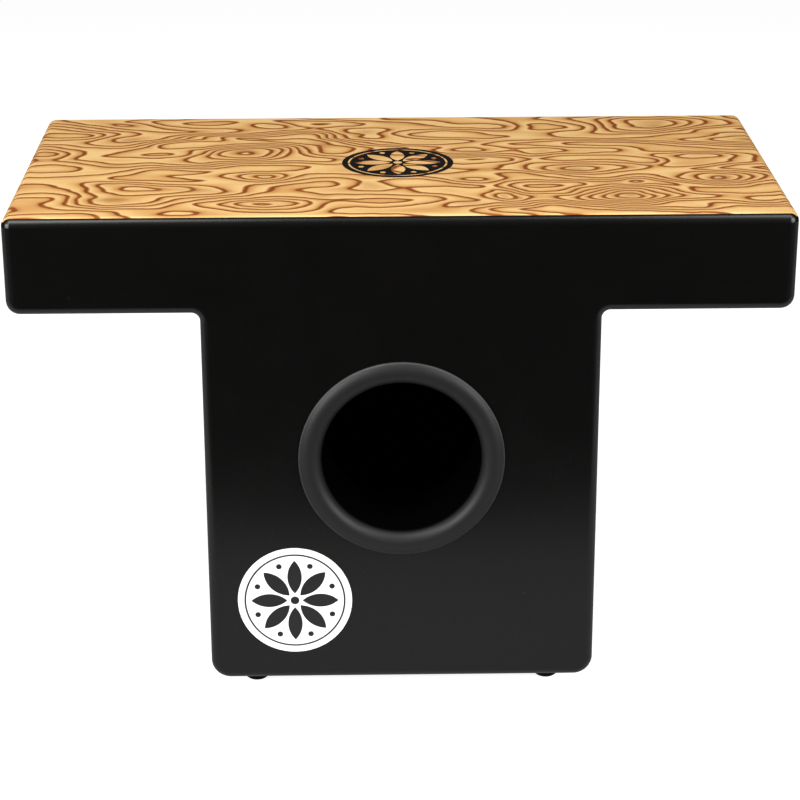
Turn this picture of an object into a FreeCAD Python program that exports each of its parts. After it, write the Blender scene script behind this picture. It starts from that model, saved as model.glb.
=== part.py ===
import FreeCAD, Part
import math
import os
import re
import Sketcher

# Slap-top cajon: a T-shaped wooden box with a thin playing surface on top, a round sound port in
# the front of its column, snare wires under the playing surface and four rubber feet.
#
# Frame: +Z up, the front faces -Y, and the origin is on the floor, under the middle of the whole
# object's box. Inside this file lengths are in millimetres and places are given from the middle
# of the wooden box and its underside; every node then moves by depth_shift and foot_height.

V = FreeCAD.Vector
doc = FreeCAD.newDocument("slap_top_cajon")
sheet = doc.addObject("Spreadsheet::Sheet", "sheet")
nodes = {}
sides = {"left": -1, "right": 1}
ends = {"front": -1, "back": 1}

DRIVING = {
    # the box: a T with one wing each side of a square column
    "top_width": 450.0,
    "box_depth": 231.0,
    "box_height": 289.9,
    "wing_height": 57.5,
    "column_width": 230.0,
    "board": 12.0,
    "skin": 6.0,
    "corner_radius": 8.0,
    "base_radius": 11.5,
    "cove_radius": 5.0,
    "edge_radius": 5.5,
    "skin_round": 5.3,
    # sound port: a flange with a rounded lip and a tube into the box
    "port_rise": 142.9,
    "port_flange": 60.2,
    "port_bore": 46.5,
    "port_wall": 2.5,
    "port_proud": 3.6,
    "port_rim": 1.0,
    "port_lip": 7.5,
    "port_tube": 57.0,
    "port_gap": 0.3,
    # feet, each with a washer and a wood screw in its recess
    "foot_radius": 9.0,
    "foot_height": 10.6,
    "foot_side": 4.5,
    "foot_flat": 5.8,
    "recess_radius": 4.6,
    "recess_depth": 4.0,
    "foot_from_side": 26.4,
    "foot_from_front": 25.6,
    "washer_radius": 4.4,
    "washer_thick": 0.8,
    "screw_radius": 1.75,
    "screw_head": 3.4,
    "screw_head_thick": 2.0,
    "screw_bite": 10.0,
    # glued battens in the corners and rails under the playing surface
    "batten": 15.0,
    "strip": 10.0,
    # snare rail, its cleats, the two plates and the wires soldered on them
    "rail_width": 40.0,
    "rail_height": 18.0,
    "cleat_length": 14.0,
    "cleat_height": 16.0,
    "snare_from_middle": 30.0,
    "plate_length": 16.0,
    "plate_width": 46.0,
    "plate_thick": 1.2,
    "wire_radius": 1.1,
    "wire_length": 88.0,
    "wire_seat": 7.0,
    "wire_pitch": 4.4,
    "wire_fan": 2.0,
    "wire_gap": 0.1,
    "pin_radius": 1.5,
    "pin_head": 2.9,
    "pin_head_thick": 1.6,
    "pin_bite": 12.0,
    "pin_inset": 4.0,
    "pin_spread": 14.0,
    # round sticker low on the left of the front
    "sticker_radius": 34.0,
    "sticker_thick": 0.3,
    "sticker_side": 63.8,
    "sticker_rise": 52.6,
}

DERIVED = {
    "half_width": "top_width / 2",
    "half_depth": "box_depth / 2",
    "half_column": "column_width / 2",
    "depth_shift": "port_proud / 2",
    "inner_depth": "box_depth - 2 * board",
    "inner_half": "half_depth - board",
    "board_top": "box_height - skin",
    "wing_rise": "box_height - wing_height",
    "strip_rise": "board_top - strip",
    "port_outside": "port_bore + port_wall",
    "port_crest": "port_bore + port_lip",
    "port_band": "((port_flange - port_crest) ^ 2 + (port_proud - port_rim) ^ 2) / (2 * (port_proud - port_rim))",
    "foot_fall": "foot_height - foot_side",
    "foot_round": "((foot_radius - foot_flat) ^ 2 + foot_fall ^ 2) / (2 * (foot_radius - foot_flat))",
    "foot_x": "half_column - foot_from_side",
    "foot_y": "half_depth - foot_from_front",
    "rail_top": "board_top - wire_gap - 2 * wire_radius - plate_thick",
    "rail_rise": "rail_top - rail_height",
    "pin_x": "rail_width / 2 - plate_length + pin_inset",
}
WIRES_PER_PLATE = 10


# ------------------------------------------------------------------ helpers

def bound(text):
    """The expression, with the sheet's name written before each of its aliases."""
    return re.sub(r"[a-z_]+", lambda word: "sheet." + word.group(), text)


def number(text):
    """The value of an expression in the sheet's aliases."""
    return float(sheet.evalExpression(text))


def fill_sheet():
    """One row for each dimension: its name, its value and an alias of that name."""
    rows = [(alias, str(size)) for alias, size in DRIVING.items()]
    rows += [(alias, "=" + formula) for alias, formula in DERIVED.items()]
    for row, (alias, content) in enumerate(rows, 1):
        sheet.set("A%d" % row, alias)
        sheet.set("B%d" % row, content)
        sheet.setAlias("B%d" % row, alias)
    doc.recompute()


def place(item, x="0", y="0", z="0"):
    """Bind an object's place, given from the middle of the wooden box and its underside."""
    item.setExpression("Placement.Base.x", bound(x))
    item.setExpression("Placement.Base.y", bound("depth_shift + " + y))
    item.setExpression("Placement.Base.z", bound("foot_height + " + z))


def new_body(name, x="0", y="0", z="0"):
    body = doc.addObject("PartDesign::Body", name)
    place(body, x, y, z)
    nodes[name] = body
    return body


def new_sketch(body, role, lift="0"):
    """A sketch on one of the body's origin planes, moved along the plane's normal by lift."""
    sketch = body.newObject("Sketcher::SketchObject", body.Name + "_sketch")
    plane = next(f for f in body.Origin.OriginFeatures if f.Role == role)
    sketch.AttachmentSupport = (plane, "")
    sketch.MapMode = "FlatFace"
    sketch.setExpression("AttachmentOffset.Base.z", bound(lift))
    return sketch


def bind(sketch, kind, where, text):
    """Add a constraint whose value is an expression."""
    index = sketch.addConstraint(Sketcher.Constraint(kind, *where, number(text)))
    sketch.setExpression("Constraints[%d]" % index, bound(text))


def quarter(start, stop, radius):
    """The arc that turns left from start to stop."""
    chord = stop - start
    rise = math.sqrt(max(radius ** 2 - (chord.Length / 2) ** 2, 0))
    left = V(-chord.y, chord.x, 0).normalize()
    middle = (start + stop) / 2 + left * rise
    angles = [math.atan2(p.y - middle.y, p.x - middle.x) for p in (start, stop)]
    return Part.ArcOfCircle(Part.Circle(middle, V(0, 0, 1), radius), *angles)


def outline(sketch, corners):
    """Draw a closed outline through corners, each (x, y) or (x, y, radius, turn).

    With a radius, an arc that turns left (+1) or right (-1) starts at that corner; otherwise a
    straight line does. All sizes are expressions.
    """
    spots = [V(number(corner[0]), number(corner[1]), 0) for corner in corners]
    first = sketch.GeometryCount
    tips = []
    for i, corner in enumerate(corners):
        start, stop = spots[i], spots[(i + 1) % len(spots)]
        turn = corner[3] if len(corner) > 2 else 0
        if turn > 0:
            sketch.addGeometry(quarter(start, stop, number(corner[2])))
        elif turn < 0:
            sketch.addGeometry(quarter(stop, start, number(corner[2])))
        else:
            sketch.addGeometry(Part.LineSegment(start, stop))
        tips.append((2, 1) if turn < 0 else (1, 2))
    for i, corner in enumerate(corners):
        line, following = first + i, first + (i + 1) % len(corners)
        begin, end = tips[i]
        next_begin = tips[(i + 1) % len(corners)][0]
        sketch.addConstraint(Sketcher.Constraint("Coincident", line, end, following, next_begin))
        bind(sketch, "DistanceX", (-1, 1, line, begin), corner[0])
        bind(sketch, "DistanceY", (-1, 1, line, begin), corner[1])
        if len(corner) > 2:
            bind(sketch, "Radius", (line,), corner[2])


def circle(sketch, x, y, radius):
    index = sketch.addGeometry(Part.Circle(V(number(x), number(y), 0), V(0, 0, 1), number(radius)))
    bind(sketch, "DistanceX", (-1, 1, index, 3), x)
    bind(sketch, "DistanceY", (-1, 1, index, 3), y)
    bind(sketch, "Radius", (index,), radius)


def pad(sketch, length):
    """Pad the sketch along its normal."""
    body = sketch.getParentGeoFeatureGroup()
    feature = body.newObject("PartDesign::Pad", body.Name + "_pad")
    feature.Profile = sketch
    feature.setExpression("Length", bound(length))
    doc.recompute()
    return feature


def pocket(sketch, length, reverse=False):
    """Cut the sketch against its normal, or along it when reversed, and see that it did cut."""
    body = sketch.getParentGeoFeatureGroup()
    before = body.Tip.Shape.Volume
    feature = body.newObject("PartDesign::Pocket", body.Name + "_pocket")
    feature.Profile = sketch
    feature.Reversed = reverse
    feature.setExpression("Length", bound(length))
    doc.recompute()
    if feature.Shape.Volume > before - 1:
        raise RuntimeError(body.Name + ": the pocket cut nothing")
    return feature


def revolve(sketch):
    """Turn the sketch once round its own vertical axis."""
    body = sketch.getParentGeoFeatureGroup()
    feature = body.newObject("PartDesign::Revolution", body.Name + "_revolution")
    feature.Profile = sketch
    feature.ReferenceAxis = (sketch, ["V_Axis"])
    feature.Angle = 360
    doc.recompute()
    return feature


def round_edges(feature, radius, wanted):
    """Fillet the edges of a feature whose middle point passes the test."""
    body = feature.getParentGeoFeatureGroup()
    names = []
    for index, edge in enumerate(feature.Shape.Edges, 1):
        middle = edge.valueAt((edge.FirstParameter + edge.LastParameter) / 2)
        if wanted(middle):
            names.append("Edge%d" % index)
    fillet = body.newObject("PartDesign::Fillet", body.Name + "_fillet")
    fillet.Base = (feature, names)
    fillet.setExpression("Radius", bound(radius))
    doc.recompute()
    return fillet


def box(name, sizes, corner):
    """A plain wooden block: its three sizes and its lowest corner are expressions."""
    item = doc.addObject("Part::Box", name)
    for prop, text in zip(("Length", "Width", "Height"), sizes):
        item.setExpression(prop, bound(text))
    place(item, *corner)
    nodes[name] = item


def cylinder(name, radius, height, spot):
    item = doc.addObject("Part::Cylinder", name)
    item.setExpression("Radius", bound(radius))
    item.setExpression("Height", bound(height))
    place(item, *spot)
    return item


def group(name, members):
    """One node that holds several equal pieces as separate solids."""
    item = doc.addObject("Part::Compound", name)
    item.Links = members
    nodes[name] = item


def headed_screw(name, head, shank):
    """A screw of two cylinders, joined into one solid."""
    item = doc.addObject("Part::Fuse", name)
    item.Base = head
    item.Tool = shank
    return item


# ------------------------------------------------------------------ outlines that repeat

def tee_outline():
    """The T, anticlockwise from the top left: outer corners are round, inner ones a small cove."""
    right_half = [
        ("half_column - base_radius", "0", "base_radius", 1),
        ("half_column", "base_radius"),
        ("half_column", "wing_rise - cove_radius", "cove_radius", -1),
        ("half_column + cove_radius", "wing_rise"),
        ("half_width - corner_radius", "wing_rise", "corner_radius", 1),
        ("half_width", "wing_rise + corner_radius"),
        ("half_width", "board_top"),
    ]
    left_half = [
        ("-half_width", "board_top"),
        ("-half_width", "wing_rise + corner_radius", "corner_radius", 1),
        ("-(half_width - corner_radius)", "wing_rise"),
        ("-(half_column + cove_radius)", "wing_rise", "cove_radius", -1),
        ("-half_column", "wing_rise - cove_radius"),
        ("-half_column", "base_radius", "base_radius", 1),
        ("-(half_column - base_radius)", "0"),
    ]
    return left_half + right_half


def mirrored(side, corners):
    """The outline as it is for the right side, or its mirror image for the left."""
    if side > 0:
        return corners
    flipped = []
    for i in range(len(corners)):
        here, before = corners[-i], corners[-i - 1]
        flipped.append(("-(" + here[0] + ")", here[1]) + tuple(before[2:]))
    return flipped


def foot_spots():
    """The four feet: name, x and y."""
    for end, back in ends.items():
        for side, right in sides.items():
            yield "%s_%s" % (end, side), "%d * foot_x" % right, "%d * foot_y" % back


def pin_spots():
    """The four small screws of the snare plates: x and y."""
    for right in sides.values():
        for away in ends.values():
            yield "%d * pin_x" % right, "%d * pin_spread - snare_from_middle" % away


# ------------------------------------------------------------------ the box

def front_panel():
    body = new_body("front_panel")
    face = new_sketch(body, "XZ_Plane", "inner_half")
    outline(face, tee_outline())
    slab = pad(face, "board")
    front, top = -number("half_depth"), number("board_top")
    round_edges(slab, "edge_radius", lambda p: abs(p.y - front) < 0.1 and p.z < top - 0.1)
    hole = new_sketch(body, "XZ_Plane", "inner_half")
    circle(hole, "0", "port_rise", "port_outside + port_gap")
    pocket(hole, "board", reverse=True)


def back_panel():
    body = new_body("back_panel")
    face = new_sketch(body, "XZ_Plane", "-half_depth")
    outline(face, tee_outline())
    slab = pad(face, "board")
    back, top = number("half_depth"), number("board_top")
    round_edges(slab, "edge_radius", lambda p: abs(p.y - back) < 0.1 and p.z < top - 0.1)


def board_between(name, side, corners):
    """A board that runs from the front panel to the back panel, drawn in section."""
    section = new_sketch(new_body(name), "XZ_Plane", "-inner_half")
    outline(section, mirrored(side, corners))
    return pad(section, "inner_depth")


def column_and_wings():
    for name, side in sides.items():
        board_between(name + "_side_panel", side, [
            ("half_column - base_radius", "0", "base_radius", 1),
            ("half_column", "base_radius"),
            ("half_column", "wing_rise + board"),
            ("half_column - board", "wing_rise + board"),
            ("half_column - board", "0"),
        ])
        board_between(name + "_wing_floor", side, [
            ("half_column", "wing_rise - cove_radius", "cove_radius", -1),
            ("half_column + cove_radius", "wing_rise"),
            ("half_width - board", "wing_rise"),
            ("half_width - board", "wing_rise + board"),
            ("half_column", "wing_rise + board"),
        ])
        board_between(name + "_wing_end", side, [
            ("half_width - board", "wing_rise"),
            ("half_width - corner_radius", "wing_rise", "corner_radius", 1),
            ("half_width", "wing_rise + corner_radius"),
            ("half_width", "board_top"),
            ("half_width - board", "board_top"),
        ])


def bottom_panel():
    slab = board_between("bottom_panel", 1, [
        ("-(half_column - board)", "0"),
        ("half_column - board", "0"),
        ("half_column - board", "board"),
        ("-(half_column - board)", "board"),
    ])
    pilots = new_sketch(slab.getParentGeoFeatureGroup(), "XY_Plane")
    for _, x, y in foot_spots():
        circle(pilots, x, y, "screw_radius")
    pocket(pilots, "screw_bite", reverse=True)


def playing_surface():
    """A thin sheet with rounded corners in plan and a rounded upper edge."""
    body = new_body("playing_surface")
    plan = new_sketch(body, "XY_Plane", "board_top")
    outline(plan, [
        ("half_width - edge_radius", "-half_depth", "edge_radius", 1),
        ("half_width", "-(half_depth - edge_radius)"),
        ("half_width", "half_depth - edge_radius", "edge_radius", 1),
        ("half_width - edge_radius", "half_depth"),
        ("-(half_width - edge_radius)", "half_depth", "edge_radius", 1),
        ("-half_width", "half_depth - edge_radius"),
        ("-half_width", "-(half_depth - edge_radius)", "edge_radius", 1),
        ("-(half_width - edge_radius)", "-half_depth"),
    ])
    slab = pad(plan, "skin")
    top = number("box_height")
    round_edges(slab, "skin_round", lambda p: abs(p.z - top) < 0.1)


def battens_and_rails():
    """Square battens up the column's corners, and thin rails round the underside of the top."""
    for end, back in ends.items():
        y = "inner_half - batten" if back > 0 else "-inner_half"
        for side, right in sides.items():
            x = "half_column - board - batten" if right > 0 else "-(half_column - board)"
            box("%s_%s_batten" % (end, side), ("batten", "batten", "strip_rise - board"), (x, y, "board"))
        y = "inner_half - strip" if back > 0 else "-inner_half"
        box(end + "_top_rail", ("top_width - 2 * board", "strip", "strip"),
            ("-(half_width - board)", y, "strip_rise"))
    for side, right in sides.items():
        x = "half_width - board - strip" if right > 0 else "-(half_width - board)"
        box(side + "_wing_rail", ("strip", "inner_depth - 2 * strip", "strip"),
            (x, "-(inner_half - strip)", "strip_rise"))


# ------------------------------------------------------------------ snares

def snare_rail():
    """A bar from panel to panel, notched at both ends to pass under the top rails."""
    body = new_body("snare_rail")
    side_view = new_sketch(body, "YZ_Plane", "-rail_width / 2")
    outline(side_view, [
        ("-inner_half", "rail_rise"),
        ("inner_half", "rail_rise"),
        ("inner_half", "strip_rise"),
        ("inner_half - strip", "strip_rise"),
        ("inner_half - strip", "rail_top"),
        ("-(inner_half - strip)", "rail_top"),
        ("-(inner_half - strip)", "strip_rise"),
        ("-inner_half", "strip_rise"),
    ])
    pad(side_view, "rail_width")
    pilots = new_sketch(body, "XY_Plane", "rail_top")
    for x, y in pin_spots():
        circle(pilots, x, y, "pin_radius")
    pocket(pilots, "pin_bite")
    for end, back in ends.items():
        y = "inner_half - cleat_length" if back > 0 else "-inner_half"
        box(end + "_cleat", ("rail_width", "cleat_length", "cleat_height"),
            ("-rail_width / 2", y, "rail_rise - cleat_height"))


def snare_plate(name, side):
    """A thin steel plate on the rail, with two screw holes."""
    plan = new_sketch(new_body(name), "XY_Plane", "rail_top")
    outer, inner = "rail_width / 2", "rail_width / 2 - plate_length"
    low, high = "-snare_from_middle - plate_width / 2", "-snare_from_middle + plate_width / 2"
    outline(plan, mirrored(side, [(inner, low), (outer, low), (outer, high), (inner, high)]))
    for away in ends.values():
        circle(plan, "%d * pin_x" % side, "%d * pin_spread - snare_from_middle" % away, "pin_radius")
    pad(plan, "plate_thick")


def snare_wires(name, side):
    """Wires in a fan: each is a little further round than the one before it."""
    wires = []
    for i in range(WIRES_PER_PLATE):
        step = i - (WIRES_PER_PLATE - 1) / 2
        wire = cylinder("%s_%d" % (name, i + 1), "wire_radius", "wire_length", (
            "%d * (rail_width / 2 - wire_seat)" % side,
            "%.1f * wire_pitch - snare_from_middle" % step,
            "rail_top + plate_thick + wire_radius",
        ))
        fan = math.radians(step * number("wire_fan"))
        wire.Placement = FreeCAD.Placement(
            wire.Placement.Base, FreeCAD.Rotation(V(0, 0, 1), V(side * math.cos(fan), math.sin(fan), 0)))
        wires.append(wire)
    group(name, wires)


def snares():
    snare_rail()
    for name, side in sides.items():
        snare_plate(name + "_snare_plate", side)
        snare_wires(name + "_snare_wires", side)
    screws = []
    for i, (x, y) in enumerate(pin_spots(), 1):
        head = cylinder("snare_screw_head_%d" % i, "pin_head", "pin_head_thick",
                        (x, y, "rail_top + plate_thick"))
        shank = cylinder("snare_screw_shank_%d" % i, "pin_radius", "plate_thick + pin_bite",
                         (x, y, "rail_top - pin_bite"))
        screws.append(headed_screw("snare_screw_%d" % i, head, shank))
    group("snare_screws", screws)


# ------------------------------------------------------------------ port, feet, sticker

def sound_port():
    """Flange and tube, turned round the port's own axis; the lip rolls over into the bore."""
    section = new_sketch(new_body("sound_port"), "XY_Plane", "port_rise")
    outline(section, [
        ("port_bore", "-half_depth + port_lip - port_proud", "port_lip", 1),
        ("port_crest", "-half_depth - port_proud", "port_band", 1),
        ("port_flange", "-half_depth - port_rim"),
        ("port_flange", "-half_depth"),
        ("port_outside", "-half_depth"),
        ("port_outside", "-half_depth + port_tube"),
        ("port_bore", "-half_depth + port_tube"),
    ])
    revolve(section)


def feet():
    washers, screws = [], []
    for name, x, y in foot_spots():
        section = new_sketch(new_body(name + "_foot", x, y), "XZ_Plane")
        outline(section, [
            ("screw_radius", "0"),
            ("screw_radius", "recess_depth - foot_height"),
            ("recess_radius", "recess_depth - foot_height"),
            ("recess_radius", "-foot_height"),
            ("foot_flat", "-foot_height", "foot_round", 1),
            ("foot_radius", "-foot_side"),
            ("foot_radius", "0"),
        ])
        revolve(section)
        seat = "recess_depth - foot_height - washer_thick"
        ring = cylinder(name + "_washer_outside", "washer_radius", "washer_thick", (x, y, seat))
        bore = cylinder(name + "_washer_bore", "screw_radius", "washer_thick", (x, y, seat))
        washer = doc.addObject("Part::Cut", name + "_washer")
        washer.Base = ring
        washer.Tool = bore
        washers.append(washer)
        head = cylinder(name + "_screw_head", "screw_head", "screw_head_thick",
                        (x, y, seat + " - screw_head_thick"))
        shank = cylinder(name + "_screw_shank", "screw_radius",
                         "washer_thick + foot_height - recess_depth + screw_bite", (x, y, seat))
        screws.append(headed_screw(name + "_screw", head, shank))
    group("foot_washers", washers)
    group("foot_screws", screws)


def front_sticker():
    disc = cylinder("front_sticker", "sticker_radius", "sticker_thick",
                    ("-sticker_side", "-half_depth", "sticker_rise"))
    forward = FreeCAD.Rotation(V(0, 0, 1), V(0, -1, 0))
    disc.Placement = FreeCAD.Placement(disc.Placement.Base, forward)
    nodes["front_sticker"] = disc


# ------------------------------------------------------------------ build, test and write

def test_model():
    """Stop if any object failed, or if a node is not made of sound solids."""
    for item in doc.Objects:
        if "Invalid" in item.State or "Error" in item.State:
            raise RuntimeError("%s failed: %s" % (item.Name, item.State))
    for name, item in nodes.items():
        shape = item.Shape
        if shape.isNull() or not shape.isValid() or not shape.Solids:
            raise RuntimeError(name + " has no sound solid")
        if item.Label != name:
            raise RuntimeError("%s is labelled %s" % (name, item.Label))


def write_steps():
    os.makedirs("parts", exist_ok=True)
    for name, item in nodes.items():
        item.Shape.exportStep("parts/%s.step" % name)
        box_size = item.Shape.BoundBox
        print("%-22s solids %2d  volume %9.0f mm3  z %6.1f to %6.1f" % (
            name, len(item.Shape.Solids), item.Shape.Volume, box_size.ZMin, box_size.ZMax))


fill_sheet()
front_panel()
back_panel()
column_and_wings()
bottom_panel()
playing_surface()
battens_and_rails()
snares()
sound_port()
feet()
front_sticker()
doc.recompute()
test_model()
write_steps()
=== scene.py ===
"""The look of a slap-top cajon: black satin lacquer, a burl veneer top, a moulded port and snares."""

import math

import bpy
import numpy as np
from mathutils import Matrix, Vector


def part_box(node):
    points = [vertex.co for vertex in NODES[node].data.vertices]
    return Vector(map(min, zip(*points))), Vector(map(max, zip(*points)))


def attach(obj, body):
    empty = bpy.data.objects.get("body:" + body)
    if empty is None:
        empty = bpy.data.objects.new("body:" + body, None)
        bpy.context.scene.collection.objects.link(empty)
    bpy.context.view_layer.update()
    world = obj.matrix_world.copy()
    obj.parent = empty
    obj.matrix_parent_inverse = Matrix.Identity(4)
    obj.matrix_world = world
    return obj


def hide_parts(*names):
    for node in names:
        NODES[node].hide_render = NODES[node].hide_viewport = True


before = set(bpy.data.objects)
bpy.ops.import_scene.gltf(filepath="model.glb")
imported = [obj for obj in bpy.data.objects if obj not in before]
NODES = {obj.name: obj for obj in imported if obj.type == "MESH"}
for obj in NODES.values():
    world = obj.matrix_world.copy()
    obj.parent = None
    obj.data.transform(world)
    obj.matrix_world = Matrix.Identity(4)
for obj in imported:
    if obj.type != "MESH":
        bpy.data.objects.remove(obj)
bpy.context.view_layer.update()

MM = 0.001
SIDES = ("left", "right")

# Boards that are lacquered outside and stained dark inside.
LACQUERED = (
    "front_panel", "back_panel", "bottom_panel", "left_side_panel", "right_side_panel",
    "left_wing_floor", "right_wing_floor", "left_wing_end", "right_wing_end",
)

# Bare softwood pieces and the axis that their grain runs along.
SOFTWOOD = {
    "front_left_batten": "Z", "front_right_batten": "Z", "back_left_batten": "Z", "back_right_batten": "Z",
    "front_top_rail": "X", "back_top_rail": "X", "left_wing_rail": "Y", "right_wing_rail": "Y",
    "snare_rail": "Y", "front_cleat": "X", "back_cleat": "X",
}

# Wood screws by node: head radius, head thickness, thread radius, core radius and pitch in
# millimetres, and whether the head is up or down.
SCREWS = {
    "foot_screws": ((3.4, 2.0, 1.75, 1.15, 1.4), -1),
    "snare_screws": ((2.9, 1.6, 1.50, 0.95, 1.2), 1),
}

# Snare coil: radius of the helix and of the wire, and pitch, in millimetres; then the steps along
# each turn and the sides of the wire.
COIL, COIL_STEPS, COIL_SIDES = (0.80, 0.26, 1.25), 9, 5

# The burl's eyes, from the middle of the veneer, in millimetres: x, y, half width and half depth
# of the outermost ring, how many growth rings the knife cut through (a hollow is negative), and
# the turn of the long axis in degrees.
BURL_EYES = (
    (163, 84, 47, 25, 5.6, 0), (66, 81, 24, 19, 2.6, 0), (-19, 72, 32, 24, 4.2, -8),
    (-81, 94, 24, 11, 2.2, -10), (-168, 56, 36, 24, 4.6, 8), (-95, 30, 37, 21, 5.2, 0),
    (-172, -4, 33, 24, 3.8, 0), (-115, -1, 24, 14, 2.2, 0), (-81, -29, 18, 13, 2.4, 0),
    (-20, -47, 22, 24, 2.8, 0), (44, -41, 24, 12, 2.4, 0), (40, -89, 46, 20, 3.8, 8),
    (43, 25, 24, 13, 2.4, 0), (106, -19, 38, 25, 5.0, 0), (191, -41, 35, 27, 5.6, 0),
    (131, -73, 40, 27, 6.0, 0), (151, -3, 20, 14, -2.4, -10), (187, 15, 34, 11, 2.4, 0),
    (207, -91, 24, 12, 2.6, 0), (171, -101, 17, 10, 2.0, 0), (140, -45, 12, 9, -1.8, 0),
    (143, 53, 66, 12, 2.4, -6), (-168, -76, 38, 25, 5.0, 0), (-172, -45, 28, 12, 2.4, -8),
    (-75, -88, 38, 9, -2.6, 0), (-99, 62, 28, 9, -2.6, -8), (-175, 95, 34, 11, 2.4, -12),
    (-118, -58, 80, 15, 2.8, -8), (-48, 45, 18, 40, -2.2, 35), (70, 52, 70, 12, 2.6, 4),
    (-20, 103, 60, 9, 1.8, -3), (85, 15, 16, 34, 2.2, -35), (62, -72, 12, 32, 2.4, 20),
    (-215, 25, 16, 22, -2.2, 0), (-45, -75, 22, 30, 2.0, 25), (-150, 22, 50, 8, -2.0, 4),
    (0, -12, 60, 9, -1.6, 0), (215, 60, 26, 30, 2.0, 0), (-30, 10, 40, 14, 2.2, 10),
)
# The veneer shows this share of an eye's rings: less in an eye with more than MANY_RINGS.
MANY_RINGS, SHARE_OF_MANY, SHARE_OF_FEW = 3.0, 0.73, 0.85

# Softboxes: place and aim in metres, width and height in metres, and power in watts.
SOFTBOXES = {
    "over left": ((-0.54, -0.70, 1.42), (0, 0, 0.3), (0.5, 0.9), 15),
    "over right": ((0.62, -0.70, 1.42), (0, 0, 0.3), (0.5, 0.9), 9.5),
    "front left": ((-1.30, -1.20, 0.75), (0, 0, 0.2), (0.8, 0.8), 33),
    "front right": ((1.30, -1.20, 0.75), (0, 0, 0.2), (0.8, 0.8), 26),
}

# Camera: lens and sensor in millimetres, pitch down, yaw right and roll in degrees, place in metres.
LENS, SENSOR = 106.4, 36.0
PITCH, YAW, ROLL = 20.91, 0.94, -0.16
CAMERA_PLACE = (-0.0218, -1.3890, 0.6777)


# ------------------------------------------------------------------ node trees

class Graph:
    """A shader node tree, with short ways to add nodes and join them."""

    def __init__(self, tree):
        self.tree = tree

    def add(self, kind, **settings):
        node = self.tree.nodes.new(kind)
        for name, setting in settings.items():
            setattr(node, name, setting)
        return node

    def feed(self, socket, source):
        """Join an output to a socket, or set the socket to a plain value."""
        if isinstance(source, bpy.types.NodeSocket):
            self.tree.links.new(source, socket)
        else:
            socket.default_value = source

    def math(self, operation, *sources, clamp=False):
        node = self.add("ShaderNodeMath", operation=operation, use_clamp=clamp)
        for socket, source in zip(node.inputs, sources):
            self.feed(socket, source)
        return node.outputs[0]

    def vector(self, operation, *sources):
        node = self.add("ShaderNodeVectorMath", operation=operation)
        for socket, source in zip(node.inputs, sources):
            self.feed(socket, source)
        scalar = operation in ("DOT_PRODUCT", "LENGTH", "DISTANCE")
        return node.outputs["Value" if scalar else "Vector"]

    def parts(self, source):
        node = self.add("ShaderNodeSeparateXYZ")
        self.feed(node.inputs[0], source)
        return node.outputs

    def position(self, centre=(0, 0, 0)):
        """Object coordinates in millimetres from a centre in metres."""
        place = self.add("ShaderNodeTexCoord").outputs["Object"]
        return self.vector("MULTIPLY", self.vector("SUBTRACT", place, tuple(centre)), (1 / MM,) * 3)

    def noise(self, source, size, detail=3.0, roughness=0.5, stretch=(1, 1, 1)):
        """Noise whose lumps are about size across; stretch makes them longer along an axis."""
        scale = tuple(1 / (size * s) for s in stretch)
        node = self.add("ShaderNodeTexNoise")
        self.feed(node.inputs["Vector"], self.vector("MULTIPLY", source, scale))
        self.feed(node.inputs["Scale"], 1.0)
        self.feed(node.inputs["Detail"], detail)
        self.feed(node.inputs["Roughness"], roughness)
        return node.outputs

    def mix(self, factor, first, second):
        node = self.add("ShaderNodeMix", data_type="RGBA")
        self.feed(node.inputs[0], factor)
        self.feed(node.inputs[6], first)
        self.feed(node.inputs[7], second)
        return node.outputs[2]

    def between(self, factor, low, high):
        """A number that goes from low to high as the factor goes from 0 to 1."""
        return self.math("MULTIPLY_ADD", factor, high - low, low)

    def step(self, value, low, high):
        """0 below low, 1 above high and smooth between."""
        node = self.add("ShaderNodeMapRange", interpolation_type="SMOOTHSTEP")
        self.feed(node.inputs[0], value)
        self.feed(node.inputs[1], low)
        self.feed(node.inputs[2], high)
        return node.outputs[0]

    def use(self, group, **inputs):
        node = self.add("ShaderNodeGroup", node_tree=group)
        for name, source in inputs.items():
            self.feed(node.inputs[name.replace("_", " ")], source)
        return node.outputs


def new_group(name, inputs, outputs):
    """A node group with named sockets: returns it, its graph, its inputs and its output node."""
    group = bpy.data.node_groups.new(name, "ShaderNodeTree")
    for label, kind in inputs.items():
        group.interface.new_socket(label, in_out="INPUT", socket_type="NodeSocket" + kind)
    for label, kind in outputs.items():
        group.interface.new_socket(label, in_out="OUTPUT", socket_type="NodeSocket" + kind)
    graph = Graph(group)
    entry = graph.add("NodeGroupInput").outputs
    return group, graph, entry, graph.add("NodeGroupOutput").inputs


def new_material(name, **plain):
    """A Principled material: returns it, its graph and its shader, with plain socket values set."""
    material = bpy.data.materials.new(name)
    material.use_nodes = True
    graph = Graph(material.node_tree)
    shader = material.node_tree.nodes["Principled BSDF"]
    for label, value in plain.items():
        shader.inputs[label.replace("_", " ")].default_value = value
    return material, graph, shader


def bump(graph, shader, height, depth):
    """Give the shader a bump: a height of 0 to 1 over a depth in metres."""
    node = graph.add("ShaderNodeBump")
    graph.feed(node.inputs["Strength"], 1.0)
    graph.feed(node.inputs["Distance"], depth)
    graph.feed(node.inputs["Height"], height)
    graph.feed(shader.inputs["Normal"], node.outputs[0])


# ------------------------------------------------------------------ effects that materials share

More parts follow.
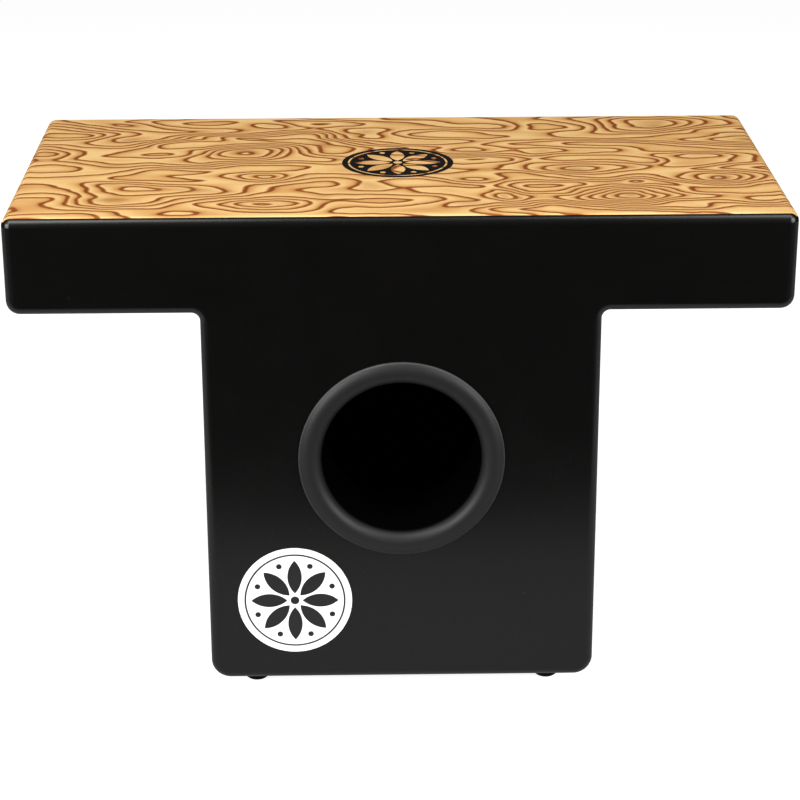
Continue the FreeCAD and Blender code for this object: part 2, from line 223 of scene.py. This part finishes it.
def dust_group():
    """Sparse specks: one in a share of the cells of a cell pattern, its size drawn for each, in cells."""
    group, graph, entry, out = new_group(
        "dust specks", {"Position": "Vector", "Cell": "Float", "Share": "Float"}, {"Mask": "Float"})
    scaled = graph.vector("DIVIDE", entry["Position"], entry["Cell"])
    cells = graph.add("ShaderNodeTexVoronoi")
    graph.feed(cells.inputs["Vector"], scaled)
    graph.feed(cells.inputs["Scale"], 1.0)
    draw = graph.parts(cells.outputs["Color"])
    present = graph.math("LESS_THAN", draw[0], entry["Share"])
    smallest, largest, sharpness = 0.03, 0.09, 60.0
    radius = graph.between(draw[1], smallest, largest)
    edge = graph.math("SUBTRACT", radius, cells.outputs["Distance"])
    speck = graph.math("MULTIPLY", edge, sharpness, clamp=True)
    graph.feed(out["Mask"], graph.math("MULTIPLY", speck, present))
    return group


def inside_group(shell_low, shell_high):
    """1 on surfaces that face the air inside the box: the column's room and the wings' room.

    A point is inside a room when its furthest overshoot past the room's faces is under a margin.
    """
    margin = 0.25
    group, graph, entry, out = new_group("inside the box", {"Position": "Vector"}, {"Mask": "Float"})
    masks = []
    for low, high in zip(shell_low, shell_high):
        centre = tuple((a + b) / 2 for a, b in zip(low, high))
        half = tuple((b - a) / 2 for a, b in zip(low, high))
        away = graph.vector("ABSOLUTE", graph.vector("SUBTRACT", entry["Position"], centre))
        over = graph.parts(graph.vector("SUBTRACT", away, half))
        furthest = graph.math("MAXIMUM", graph.math("MAXIMUM", over[0], over[1]), over[2])
        masks.append(graph.math("LESS_THAN", furthest, margin))
    graph.feed(out["Mask"], graph.math("MAXIMUM", *masks))
    return group


def rosette_group():
    """A generic eight-petal rosette with a ring, a middle dot and a dot between each two petals.

    A petal is where two circles of one radius overlap; by symmetry one test, with the angle
    folded to the nearest petal, does for all eight.
    """
    petals, start, end, arc = 8, 4.5, 26.0, 15.6
    dot, dots_at, middle_dot = 1.7, 24.0, 2.6
    ring_at, ring_half = 29.6, 0.55
    soft = 0.15
    group, graph, entry, out = new_group("rosette", {"Plan": "Vector"}, {"Mask": "Float"})
    x, y, _ = graph.parts(entry["Plan"])
    radius = graph.vector("LENGTH", entry["Plan"])
    angle = graph.math("ARCTAN2", y, x)

    def covered(edge):
        return graph.math("MULTIPLY_ADD", edge, 1 / soft, 0.5, clamp=True)

    def folded(turn):
        fold = graph.math("PINGPONG", graph.math("ADD", angle, turn + 2 * math.pi), math.pi / petals)
        along = graph.math("MULTIPLY", radius, graph.math("COSINE", fold))
        across = graph.math("MULTIPLY", radius, graph.math("SINE", fold))
        return along, across

    def far_from(spot, u, v):
        du = graph.math("SUBTRACT", spot[0], u)
        dv = graph.math("SUBTRACT", spot[1], v)
        squares = [graph.math("POWER", d, 2.0) for d in (du, dv)]
        return graph.math("SQRT", graph.math("ADD", *squares))

    middle = (start + end) / 2
    drop = math.sqrt(arc ** 2 - ((end - start) / 2) ** 2)
    petal = covered(graph.math("SUBTRACT", arc, far_from(folded(0), middle, -drop)))
    dots = covered(graph.math("SUBTRACT", dot, far_from(folded(math.pi / petals), dots_at, 0.0)))
    centre = covered(graph.math("SUBTRACT", middle_dot, radius))
    off_ring = graph.math("ABSOLUTE", graph.math("SUBTRACT", radius, ring_at))
    ring = covered(graph.math("SUBTRACT", ring_half, off_ring))
    first = graph.math("MAXIMUM", petal, dots)
    graph.feed(out["Mask"], graph.math("MAXIMUM", first, graph.math("MAXIMUM", centre, ring)))
    return group


def burl_height_group():
    """Height of the growth surface that the veneer knife cut, in rings.

    A gentle slope and slow noise, plus one bell for each eye: the share of its rings that shows,
    times e to the minus of the squared distance. The distance is counted along the eye's own two
    axes, in widths that put half a ring of height at its outermost ring. Wide and fine noise move
    the plan first, so that no eye is a true oval. The second output is the same bells to a high
    power, for the dark heart of each eye.
    """
    wide_size, wide_move = 30, (15, 8, 0)
    fine_size, fine_move = 9, (2, 1.6, 0)
    slow_size, slow_stretch, slow_rings = 75, (1.5, 0.42, 1), 11.0
    rings_per_mm = 0.035
    heart_power, full_heart = 14.0, 4
    group, graph, entry, out = new_group(
        "burl height", {"Plan": "Vector"}, {"Height": "Float", "Heart": "Float"})
    wide = graph.vector("SUBTRACT", graph.noise(entry["Plan"], wide_size, 1.0)["Color"], (0.5,) * 3)
    fine = graph.vector("SUBTRACT", graph.noise(entry["Plan"], fine_size, 1.0)["Color"], (0.5,) * 3)
    moved = graph.vector("ADD", entry["Plan"], graph.vector("MULTIPLY", wide, wide_move))
    moved = graph.vector("ADD", moved, graph.vector("MULTIPLY", fine, fine_move))
    slow = graph.noise(moved, slow_size, 0.5, stretch=slow_stretch)["Fac"]
    slope = graph.vector("DOT_PRODUCT", moved, (0.0, rings_per_mm, 0.0))
    height = graph.math("MULTIPLY_ADD", slow, slow_rings, slope)
    heart = 0.0
    for x, y, half_width, half_depth, cut, turn in BURL_EYES:
        rings = cut * (SHARE_OF_MANY if abs(cut) > MANY_RINGS else SHARE_OF_FEW)
        reach = math.sqrt(math.log(2 * abs(rings)))
        cosine, sine = math.cos(math.radians(turn)), math.sin(math.radians(turn))
        squares = None
        for to_x, to_y, half in ((cosine, sine, half_width), (-sine, cosine, half_depth)):
            axis = (to_x * reach / half, to_y * reach / half, 0)
            along = graph.vector("DOT_PRODUCT", moved, axis)
            away = graph.math("SUBTRACT", along, x * axis[0] + y * axis[1])
            squares = graph.math("MULTIPLY_ADD", away, away, squares or 0.0)
        bell = graph.math("POWER", 1 / math.e, squares)
        height = graph.math("MULTIPLY_ADD", bell, rings, height)
        core = graph.math("POWER", bell, heart_power)
        heart = graph.math("MULTIPLY_ADD", core, min(abs(rings) / full_heart, 1), heart)
    graph.feed(out["Height"], height)
    graph.feed(out["Heart"], heart)
    return group


def grain_group():
    """Straight softwood grain along X: a ring mask, 1 in the dark late wood, and pores."""
    ring_spacing, lean, late_wood = 2.3, 0.45, 3.0
    group, graph, entry, out = new_group(
        "softwood grain", {"Position": "Vector"}, {"Rings": "Float", "Pores": "Float"})
    drift = graph.noise(entry["Position"], 30, 2.0, stretch=(5, 1, 1))["Color"]
    bent = graph.vector("ADD", entry["Position"], graph.vector("MULTIPLY", drift, (0, 6, 6)))
    _, y, z = graph.parts(bent)
    phase = graph.math("ADD", y, graph.math("MULTIPLY", z, lean))
    ring = graph.math("FRACT", graph.math("DIVIDE", phase, ring_spacing))
    graph.feed(out["Rings"], graph.math("POWER", ring, late_wood))
    pores = graph.noise(entry["Position"], 0.5, 3.0, stretch=(14, 1, 1))["Fac"]
    graph.feed(out["Pores"], pores)
    return group


# ------------------------------------------------------------------ materials

def lacquer_material(groups):
    """Black satin lacquer with a faint orange peel and faint specks; dull dark stain inside the box."""
    material, graph, shader = new_material("black lacquer", IOR=1.41)
    place = graph.position()
    inside = graph.use(groups["inside"], Position=place)["Mask"]
    cloud = graph.noise(place, 60, 3.0)["Fac"]
    dust = graph.use(groups["dust"], Position=place, Cell=9.0, Share=0.15)["Mask"]
    black = graph.mix(cloud, (0.0012, 0.0011, 0.0010, 1), (0.0020, 0.0018, 0.0016, 1))
    outside = graph.mix(graph.math("MULTIPLY", dust, 0.10), black, (0.16, 0.15, 0.14, 1))
    fibres = graph.noise(place, 1.4, 4.0)["Fac"]
    stain = graph.mix(fibres, (0.006, 0.005, 0.004, 1), (0.013, 0.010, 0.008, 1))
    graph.feed(shader.inputs["Base Color"], graph.mix(inside, outside, stain))
    gloss = graph.between(graph.noise(place, 25, 4.0)["Fac"], 0.24, 0.30)
    dull = graph.math("MULTIPLY", inside, 0.5)
    graph.feed(shader.inputs["Roughness"], graph.math("ADD", gloss, dull, clamp=True))
    bump(graph, shader, graph.noise(place, 1.6, 2.0)["Fac"], 0.000012)
    return material


def veneer_material(groups):
    """Burl veneer on the flat of the top, a printed black disc, and lacquer round the edge.

    The rings are the whole numbers of the burl's height. Its slope turns the part of a ring that
    is left into millimetres, which give the dark line between rings and the shade beside it.
    """
    low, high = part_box("playing_surface")
    front_edge, side_edge, veneered_down_to, disc = 2.85, 0.4, -2.6, 33.8
    probe, flattest, crowded = 0.5, 0.02, 0.16
    material, graph, shader = new_material("burl veneer", IOR=1.40)
    place = graph.position(((low.x + high.x) / 2, (low.y + high.y) / 2, high.z))
    x, y, z = graph.parts(place)
    plan = graph.vector("MULTIPLY", place, (1, 1, 0))
    height = burl_height_group()

    here, heart = graph.use(height, Plan=plan)
    slopes = []
    for shift, weight in (((probe, 0, 0), 1.0), ((0, probe, 0), 0.65)):
        there = graph.use(height, Plan=graph.vector("ADD", plan, shift))["Height"]
        slopes.append(graph.math("MULTIPLY", graph.math("SUBTRACT", there, here), weight / probe))
    squares = [graph.math("MULTIPLY", s, s) for s in slopes]
    slope = graph.math("ADD", graph.math("SQRT", graph.math("ADD", *squares)), flattest)
    ring = graph.math("FRACT", here)
    to_next = graph.math("DIVIDE", graph.math("SUBTRACT", 1.0, ring), slope)
    to_last = graph.math("DIVIDE", ring, slope)
    # Where there are more rings to a millimetre than this, the lines thin in proportion.
    crowding = graph.math("MINIMUM", 1.0, graph.math("DIVIDE", crowded, slope))
    nearest = graph.math("DIVIDE", graph.math("MINIMUM", to_next, to_last), crowding)

    pale = (0.835, 0.550, 0.228, 1)
    amber = (0.60, 0.288, 0.080, 1)
    brown = (0.215, 0.037, 0.002, 1)
    wood = graph.mix(graph.math("MULTIPLY", graph.step(ring, 0.1, 1.0), 0.75), pale, amber)
    shade = graph.math("MULTIPLY", graph.math("SUBTRACT", 1.0, graph.step(to_next, 0.6, 4.2)), 0.34)
    line = graph.math("MULTIPLY", graph.math("SUBTRACT", 1.0, graph.step(nearest, 0.5, 2.1)), 0.95)
    wood = graph.mix(graph.math("MAXIMUM", shade, line), wood, brown)
    smudge = graph.math("MULTIPLY", heart, 0.5, clamp=True)
    wood = graph.mix(smudge, wood, (0.26, 0.12, 0.05, 1))
    streak = graph.noise(plan, 9, 4.0, stretch=(9, 0.6, 1))["Fac"]
    streaked = graph.math("MULTIPLY", graph.step(streak, 0.45, 0.8), 0.3)
    wood = graph.mix(streaked, wood, (0.50, 0.19, 0.04, 1))
    pores = graph.noise(plan, 0.6, 3.0, stretch=(6, 1, 1))["Fac"]
    pored = graph.math("MULTIPLY", graph.step(pores, 0.5, 0.8), 0.25)
    wood = graph.mix(pored, wood, (0.32, 0.13, 0.04, 1))

    petals = graph.use(groups["rosette"], Plan=plan)["Mask"]
    printed = graph.math("MULTIPLY_ADD", graph.math("SUBTRACT", disc, graph.vector("LENGTH", plan)),
                         6.0, 0.5, clamp=True)
    printed = graph.math("MULTIPLY", printed, graph.math("SUBTRACT", 1.0, petals))
    ink = (0.008, 0.007, 0.007, 1)
    wood = graph.mix(printed, wood, ink)

    from_side = graph.math("SUBTRACT", (high.x - low.x) / 2 / MM, graph.math("ABSOLUTE", x))
    from_front = graph.math("SUBTRACT", (high.y - low.y) / 2 / MM, graph.math("ABSOLUTE", y))
    flat = graph.math("MULTIPLY", graph.math("GREATER_THAN", from_side, side_edge),
                      graph.math("GREATER_THAN", from_front, front_edge))
    flat = graph.math("MULTIPLY", flat, graph.math("GREATER_THAN", z, veneered_down_to))
    black = (0.0016, 0.0015, 0.0013, 1)
    graph.feed(shader.inputs["Base Color"], graph.mix(flat, black, wood))
    rough = graph.math("MULTIPLY_ADD", flat, 0.09, graph.between(streak, 0.24, 0.32))
    graph.feed(shader.inputs["Roughness"], rough)
    bump(graph, shader, graph.noise(place, 1.6, 2.0)["Fac"], 0.000012)
    return material


def softwood_material(groups, along):
    """Bare pine with the grain along one axis."""
    turns = {"X": (0, 0, 0), "Y": (0, 0, math.pi / 2), "Z": (0, math.pi / 2, 0)}
    material, graph, shader = new_material("bare pine along " + along, IOR=1.45)
    turned = graph.add("ShaderNodeMapping")
    graph.feed(turned.inputs["Vector"], graph.position())
    graph.feed(turned.inputs["Rotation"], turns[along])
    grain = graph.use(groups["grain"], Position=turned.outputs[0])
    wood = graph.mix(grain["Rings"], (0.62, 0.42, 0.22, 1), (0.38, 0.20, 0.08, 1))
    flecks = graph.math("MULTIPLY", graph.step(grain["Pores"], 0.5, 0.8), 0.4)
    graph.feed(shader.inputs["Base Color"], graph.mix(flecks, wood, (0.30, 0.16, 0.07, 1)))
    graph.feed(shader.inputs["Roughness"], graph.between(grain["Pores"], 0.62, 0.8))
    bump(graph, shader, grain["Pores"], 0.00008)
    return material


def port_material(groups):
    """Moulded black plastic with a fine grain, a painted highlight in patches round the outer edge and
    painted shade in the bore behind the lip.
    """
    low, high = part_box("sound_port")
    edge_highlight_radii, bore_radii, lip_depths = (59.2, 60.0), (46.6, 48.2), (3.0, 7.0)
    material, graph, shader = new_material("port plastic", IOR=1.36)
    place = graph.position(((low.x + high.x) / 2, low.y, (low.z + high.z) / 2))
    grain = graph.noise(place, 0.35, 2.0)["Fac"]
    cloud = graph.noise(place, 30, 3.0)["Fac"]
    dust = graph.use(groups["dust"], Position=place, Cell=9.0, Share=0.08)["Mask"]
    x, y, z = graph.parts(place)
    across = graph.math("SQRT", graph.math("MULTIPLY_ADD", x, x, graph.math("MULTIPLY", z, z)))
    plastic = graph.mix(cloud, (0.006, 0.006, 0.0065, 1), (0.010, 0.010, 0.0105, 1))
    # Painted highlight: a paler band, in patches, round the outer edge of the flange stands in for light
    # catching that edge.
    highlight_patches = graph.between(graph.noise(place, 6, 4.0)["Fac"], 0.1, 0.5)
    edge_highlight = graph.math("MULTIPLY", graph.step(across, *edge_highlight_radii), highlight_patches)
    plastic = graph.mix(edge_highlight, plastic, (0.10, 0.10, 0.10, 1))
    plastic = graph.mix(graph.math("MULTIPLY", dust, 0.15), plastic, (0.2, 0.19, 0.18, 1))
    # Painted shade: past the lip the bore is coloured nearly black and made glossier, standing in for the
    # shade far into the tube.
    narrow = graph.math("SUBTRACT", 1.0, graph.step(across, *bore_radii))
    bore_shade_mask = graph.math("MULTIPLY", narrow, graph.step(y, *lip_depths))
    bore = graph.mix(cloud, (0.0006, 0.0006, 0.0006, 1), (0.0012, 0.0012, 0.0012, 1))
    graph.feed(shader.inputs["Base Color"], graph.mix(bore_shade_mask, plastic, bore))
    rough = graph.between(grain, 0.42, 0.54)
    graph.feed(shader.inputs["Roughness"], graph.math("MULTIPLY_ADD", bore_shade_mask, -0.3, rough))
    bump(graph, shader, grain, 0.00003)
    return material


def rubber_material(groups):
    """Black moulded rubber, dull, with a few specks of dust; its black is darkened further as painted
    shade under the drum.
    """
    material, graph, shader = new_material("foot rubber", IOR=1.2)
    place = graph.position()
    skin = graph.noise(place, 0.8, 4.0)["Fac"]
    dust = graph.use(groups["dust"], Position=place, Cell=3.0, Share=0.3)["Mask"]
    # Painted shade: the rubber's black is darkened further, standing in for the shade under the drum.
    rubber = graph.mix(skin, (0.0015, 0.0015, 0.0015, 1), (0.003, 0.003, 0.003, 1))
    dusty = graph.mix(graph.math("MULTIPLY", dust, 0.15), rubber, (0.2, 0.19, 0.18, 1))
    graph.feed(shader.inputs["Base Color"], dusty)
    graph.feed(shader.inputs["Roughness"], graph.between(skin, 0.62, 0.85))
    bump(graph, shader, skin, 0.00006)
    return material


def steel_material(name, colour, low, high):
    """Rolled or drawn steel: fine scratches and a little variation in gloss."""
    material, graph, shader = new_material(name, Metallic=1.0)
    place = graph.position()
    scratches = graph.noise(place, 0.3, 3.0, stretch=(1, 12, 1))["Fac"]
    patches = graph.noise(place, 6, 3.0)["Fac"]
    dark = tuple(0.8 * c for c in colour) + (1,)
    graph.feed(shader.inputs["Base Color"], graph.mix(patches, dark, colour + (1,)))
    graph.feed(shader.inputs["Roughness"], graph.between(scratches, low, high))
    bump(graph, shader, scratches, 0.00001)
    return material


def vinyl_material(groups):
    """White vinyl with the rosette printed in black."""
    low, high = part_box("front_sticker")
    centre = ((low.x + high.x) / 2, (low.y + high.y) / 2, (low.z + high.z) / 2)
    material, graph, shader = new_material("printed vinyl", IOR=1.5)
    x, y, z = graph.parts(graph.position(centre))
    plan = graph.add("ShaderNodeCombineXYZ")
    graph.feed(plan.inputs[0], x)
    graph.feed(plan.inputs[1], z)
    petals = graph.use(groups["rosette"], Plan=plan.outputs[0])["Mask"]
    soft = graph.noise(plan.outputs[0], 12, 3.0)["Fac"]
    white = graph.mix(soft, (0.90, 0.92, 0.92, 1), (0.93, 0.95, 0.95, 1))
    graph.feed(shader.inputs["Base Color"], graph.mix(petals, white, (0.004, 0.004, 0.004, 1)))
    graph.feed(shader.inputs["Roughness"], graph.between(soft, 0.28, 0.36))
    bump(graph, shader, soft, 0.00002)
    return material


def dress(name, material):
    """Put one material on a CAD node."""
    slots = NODES[name].data.materials
    slots.clear()
    slots.append(material)


# ------------------------------------------------------------------ new pieces

def mesh_piece(name, points, faces, material, slot):
    """A smooth mesh object from arrays, riding on the drum."""
    mesh = bpy.data.meshes.new(name)
    mesh.from_pydata(points.tolist(), [], faces)
    mesh.materials.append(material)
    mesh.polygons.foreach_set("use_smooth", np.full(len(mesh.polygons), True))
    mesh.update()
    piece = bpy.data.objects.new(name, mesh)
    bpy.context.scene.collection.objects.link(piece)
    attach(piece, "root")
    return piece


def grid_faces(rows, columns, first=0):
    """Quads of a grid whose columns close on themselves, with vertices counted row by row."""
    i, j = np.meshgrid(np.arange(rows - 1), np.arange(columns), indexing="ij")
    after = (j + 1) % columns
    here, above = i * columns, (i + 1) * columns
    quads = np.stack([here + j, here + after, above + after, above + j], -1)
    return (quads.reshape(-1, 4) + first).tolist()


def closed_grids(grids):
    """The points and faces of several such grids, each closed by a face at its first and last row."""
    points, faces, count = [], [], 0
    for grid in grids:
        rows, columns, _ = grid.shape
        last = count + rows * columns
        faces += grid_faces(rows, columns, count)
        faces.append(list(range(count, count + columns))[::-1])
        faces.append(list(range(last - columns, last)))
        points.append(grid.reshape(-1, 3))
        count = last
    return np.concatenate(points), faces


def coil_points(start, end, coil, wire, pitch, steps, sides):
    """A tube along a helix, as rows of points, one row for each step along it.

    The helix turns round the straight line from start to end at radius coil, once in each
    pitch; each row is a circle of radius wire square to the helix.
    """
    axis = end - start
    length = np.linalg.norm(axis)
    axis = axis / length
    side = np.cross(axis, (0.0, 0.0, 1.0))
    side /= np.linalg.norm(side)
    up = np.cross(side, axis)
    along = np.linspace(0, length, int(length / pitch * steps))
    turn = 2 * np.pi * along / pitch
    out = np.cos(turn)[:, None] * side + np.sin(turn)[:, None] * up
    round_way = -np.sin(turn)[:, None] * side + np.cos(turn)[:, None] * up
    centres = start + along[:, None] * axis + coil * out
    forward = axis * pitch + 2 * np.pi * coil * round_way
    forward /= np.linalg.norm(forward, axis=1)[:, None]
    across = np.cross(forward, out)
    ring = 2 * np.pi * np.arange(sides) / sides
    outward = np.cos(ring)[None, :, None] * out[:, None, :]
    sideways = np.sin(ring)[None, :, None] * across[:, None, :]
    return centres[:, None, :] + wire * (outward + sideways)


def wire_lines(node):
    """The centre line of each rod in a wire node: its two ends, from the node's own vertices.

    Vertices that an edge joins, or that lie in one place, take the lowest label among them, until
    no label changes; each label is then a rod. Its ends are the means of its vertices that are
    nearest to and furthest from the middle of the drum, across it.
    """
    end_slice = 1.0 * MM
    mesh = NODES[node].data
    points = np.zeros(len(mesh.vertices) * 3)
    mesh.vertices.foreach_get("co", points)
    points = points.reshape(-1, 3)
    label = np.arange(len(points))
    edges = np.array([tuple(e.vertices) for e in mesh.edges])
    _, same = np.unique(np.round(points, 6), axis=0, return_inverse=True)
    same = same.ravel()
    changed = True
    while changed:
        before = label.copy()
        np.minimum.at(label, edges[:, 0], label[edges[:, 1]])
        np.minimum.at(label, edges[:, 1], label[edges[:, 0]])
        lowest = np.full(same.max() + 1, len(points))
        np.minimum.at(lowest, same, label)
        label = lowest[same]
        changed = bool((label != before).any())
    lines = []
    for one in np.unique(label):
        rod = points[label == one]
        near = rod[np.abs(rod[:, 0]) < np.abs(rod[:, 0]).min() + end_slice].mean(0)
        far = rod[np.abs(rod[:, 0]) > np.abs(rod[:, 0]).max() - end_slice].mean(0)
        lines.append((near, far))
    return lines


def snare_coils(name, side, steel):
    """The springy coiled wires, in the place of each plain rod."""
    node = side + "_snare_wires"
    coil, wire, pitch = (c * MM for c in COIL)
    grids = [coil_points(near, far, coil, wire, pitch, COIL_STEPS, COIL_SIDES)
             for near, far in wire_lines(node)]
    piece = mesh_piece(name, *closed_grids(grids), steel, "steel")
    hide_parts(node)


def screw_points(size, place, seat, toward_head, length, columns=48):
    """A cross-headed wood screw as rows of points from its tip to the middle of its head.

    Each row is a circle round the screw's own axis. Along the thread the radius is the tapered
    core plus a triangle wave of height along the axis minus the turn; over the head it follows
    a flattened dome, less a well in the shape of a cross.
    """
    head, head_thick, crest, core, pitch = (c * MM for c in size)
    turn = 2 * np.pi * np.arange(columns) / columns
    thread = np.linspace(-length, -0.5 * MM, int(length / pitch * 8))
    taper = np.clip((thread + length) / (4 * crest), 0.02, 1)
    wave = np.abs(2 * ((thread[:, None] / pitch - turn[None, :] / (2 * np.pi)) % 1) - 1)
    threaded = taper[:, None] * (core + (crest - core) * wave ** 2)
    heights = np.repeat(thread[:, None], columns, 1)
    arc = np.linspace(0, np.pi / 2, 22)[:-1]
    under = np.array([
        (crest, -0.3 * MM), (0.96 * head, 0.0), (head, 0.08 * MM), (head, 0.5 * head_thick),
    ])
    dome = np.stack([head * np.cos(arc[1:]), (0.5 + 0.5 * np.sin(arc[1:])) * head_thick], -1)
    path = np.concatenate([under, dome])
    radii = np.concatenate([threaded, np.repeat(path[:, :1], columns, 1)])
    heights = np.concatenate([heights, np.repeat(path[:, 1:], columns, 1)])
    u, v = np.abs(radii * np.cos(turn)), np.abs(radii * np.sin(turn))
    arm, reach = 0.13 * head, 0.56 * head
    inside = np.clip((arm - np.minimum(u, v)) / (0.06 * head), 0, 1)
    inside = inside * np.clip((reach - np.maximum(u, v)) / (0.2 * head), 0, 1)
    heights = np.where(heights > 0.5 * head_thick, heights - 0.55 * head_thick * inside, heights)
    return np.stack([place[0] + radii * np.cos(turn), place[1] + toward_head * radii * np.sin(turn),
                     seat + toward_head * heights], -1)


def screws(name, node, size, toward_head, material):
    """Four screws at the corners of the node's box, in the place of its plain ones."""
    low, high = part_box(node)
    head, head_thick = size[0] * MM, size[1] * MM
    seat = high.z - head_thick if toward_head > 0 else low.z + head_thick
    length = high.z - low.z - head_thick
    grids = [screw_points(size, (x, y), seat, toward_head, length)
             for x in (low.x + head, high.x - head) for y in (low.y + head, high.y - head)]
    piece = mesh_piece(name, *closed_grids(grids), material, "steel")
    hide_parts(node)


# ------------------------------------------------------------------ stage, light and camera

def stage_floor():
    """A plain grey floor that glows for the camera alone, so that it runs into the white behind it."""
    half, front, back = 1.6, -0.36, 2.2
    grey, glow = 0.47, 0.88
    corners = [(-half, front, 0), (half, front, 0), (half, back, 0), (-half, back, 0)]
    mesh = bpy.data.meshes.new("floor")
    mesh.from_pydata(corners, [], [(0, 1, 2, 3)])
    floor = bpy.data.objects.new("floor", mesh)
    bpy.context.scene.collection.objects.link(floor)
    material, graph, shader = new_material("pale floor", Roughness=0.9)
    shader.inputs["Base Color"].default_value = (grey, grey, grey, 1)
    shader.inputs["Specular IOR Level"].default_value = 0.1
    shader.inputs["Emission Color"].default_value = (1, 1, 1, 1)
    to_camera = graph.add("ShaderNodeLightPath").outputs["Is Camera Ray"]
    graph.feed(shader.inputs["Emission Strength"], graph.math("MULTIPLY", to_camera, glow))
    mesh.materials.append(material)


def softbox(name, place, aim, size, power):
    """A white rectangular light at a place, turned to face its aim."""
    light = bpy.data.lights.new(name, "AREA")
    light.shape = "RECTANGLE"
    light.size, light.size_y = size
    light.energy = power
    lamp = bpy.data.objects.new(name, light)
    lamp.location = place
    lamp.rotation_euler = (Vector(aim) - Vector(place)).to_track_quat("-Z", "Y").to_euler()
    bpy.context.scene.collection.objects.link(lamp)


def studio_light():
    """White surroundings for the camera, dim ones for reflections, and four softboxes."""
    reflected = 0.02
    world = bpy.data.worlds.new("studio")
    bpy.context.scene.world = world
    world.use_nodes = True
    graph = Graph(world.node_tree)
    world.node_tree.nodes.clear()
    seen = graph.add("ShaderNodeBackground")
    graph.feed(seen.inputs["Color"], (1, 1, 1, 1))
    around = graph.add("ShaderNodeBackground")
    graph.feed(around.inputs["Color"], (1, 1, 1, 1))
    graph.feed(around.inputs["Strength"], reflected)
    blend = graph.add("ShaderNodeMixShader")
    graph.feed(blend.inputs[0], graph.add("ShaderNodeLightPath").outputs["Is Camera Ray"])
    graph.feed(blend.inputs[1], around.outputs[0])
    graph.feed(blend.inputs[2], seen.outputs[0])
    graph.feed(graph.add("ShaderNodeOutputWorld").inputs["Surface"], blend.outputs[0])
    bpy.context.scene.view_settings.view_transform = "Standard"
    for name, settings in SOFTBOXES.items():
        softbox(name, *settings)


def camera():
    """A long lens a little above the drum, looking down at its front."""
    data = bpy.data.cameras.new("camera")
    data.lens = LENS
    data.sensor_width = SENSOR
    pitch, yaw, roll = (math.radians(a) for a in (PITCH, YAW, ROLL))
    level, down = math.cos(pitch), math.sin(pitch)
    forward = Vector((math.sin(yaw) * level, math.cos(yaw) * level, -down))
    right = forward.cross(Vector((0, 0, 1))).normalized()
    up = right.cross(forward)
    turned_right = right * math.cos(roll) + up * math.sin(roll)
    turned_up = up * math.cos(roll) - right * math.sin(roll)
    pose = Matrix((turned_right, turned_up, -forward)).transposed().to_4x4()
    pose.translation = Vector(CAMERA_PLACE)
    lens = bpy.data.objects.new("camera", data)
    lens.matrix_world = pose
    bpy.context.scene.collection.objects.link(lens)
    bpy.context.scene.camera = lens


# ------------------------------------------------------------------ put it together

def rooms():
    """Lowest and highest corners, in millimetres, of the column's room and of the wings' room."""
    side_low, side_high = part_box("left_side_panel")
    far_low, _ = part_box("right_side_panel")
    floor_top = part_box("bottom_panel")[1].z
    wing_floor_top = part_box("left_wing_floor")[1].z
    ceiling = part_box("playing_surface")[0].z
    left_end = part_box("left_wing_end")[1].x
    right_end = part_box("right_wing_end")[0].x
    lows = [(side_high.x, side_low.y, floor_top), (left_end, side_low.y, wing_floor_top)]
    highs = [(far_low.x, side_high.y, ceiling), (right_end, side_high.y, ceiling)]
    return [[tuple(c / MM for c in corner) for corner in corners] for corners in (lows, highs)]


def materials():
    """Put the materials on the CAD nodes, and return the two steels for the coils and screws."""
    groups = {
        "dust": dust_group(),
        "inside": inside_group(*rooms()),
        "rosette": rosette_group(),
        "grain": grain_group(),
    }
    lacquer = lacquer_material(groups)
    for name in LACQUERED:
        dress(name, lacquer)
    pine = {axis: softwood_material(groups, axis) for axis in "XYZ"}
    for name, axis in SOFTWOOD.items():
        dress(name, pine[axis])
    dress("playing_surface", veneer_material(groups))
    dress("sound_port", port_material(groups))
    dress("front_sticker", vinyl_material(groups))
    rubber = rubber_material(groups)
    for name in NODES:
        if name.endswith("_foot"):
            dress(name, rubber)
    steel = steel_material("plated steel", (0.62, 0.61, 0.58), 0.28, 0.42)
    wire = steel_material("spring wire", (0.70, 0.69, 0.66), 0.22, 0.32)
    for name in ("foot_screws", "foot_washers", "snare_screws", "left_snare_plate", "right_snare_plate"):
        dress(name, steel)
    return steel, wire


steel, wire = materials()
for side in SIDES:
    snare_coils(side + "_snare_coils", side, wire)
for node, (size, toward_head) in SCREWS.items():
    screws("cross_" + node, node, size, toward_head, steel)
stage_floor()
studio_light()
camera()
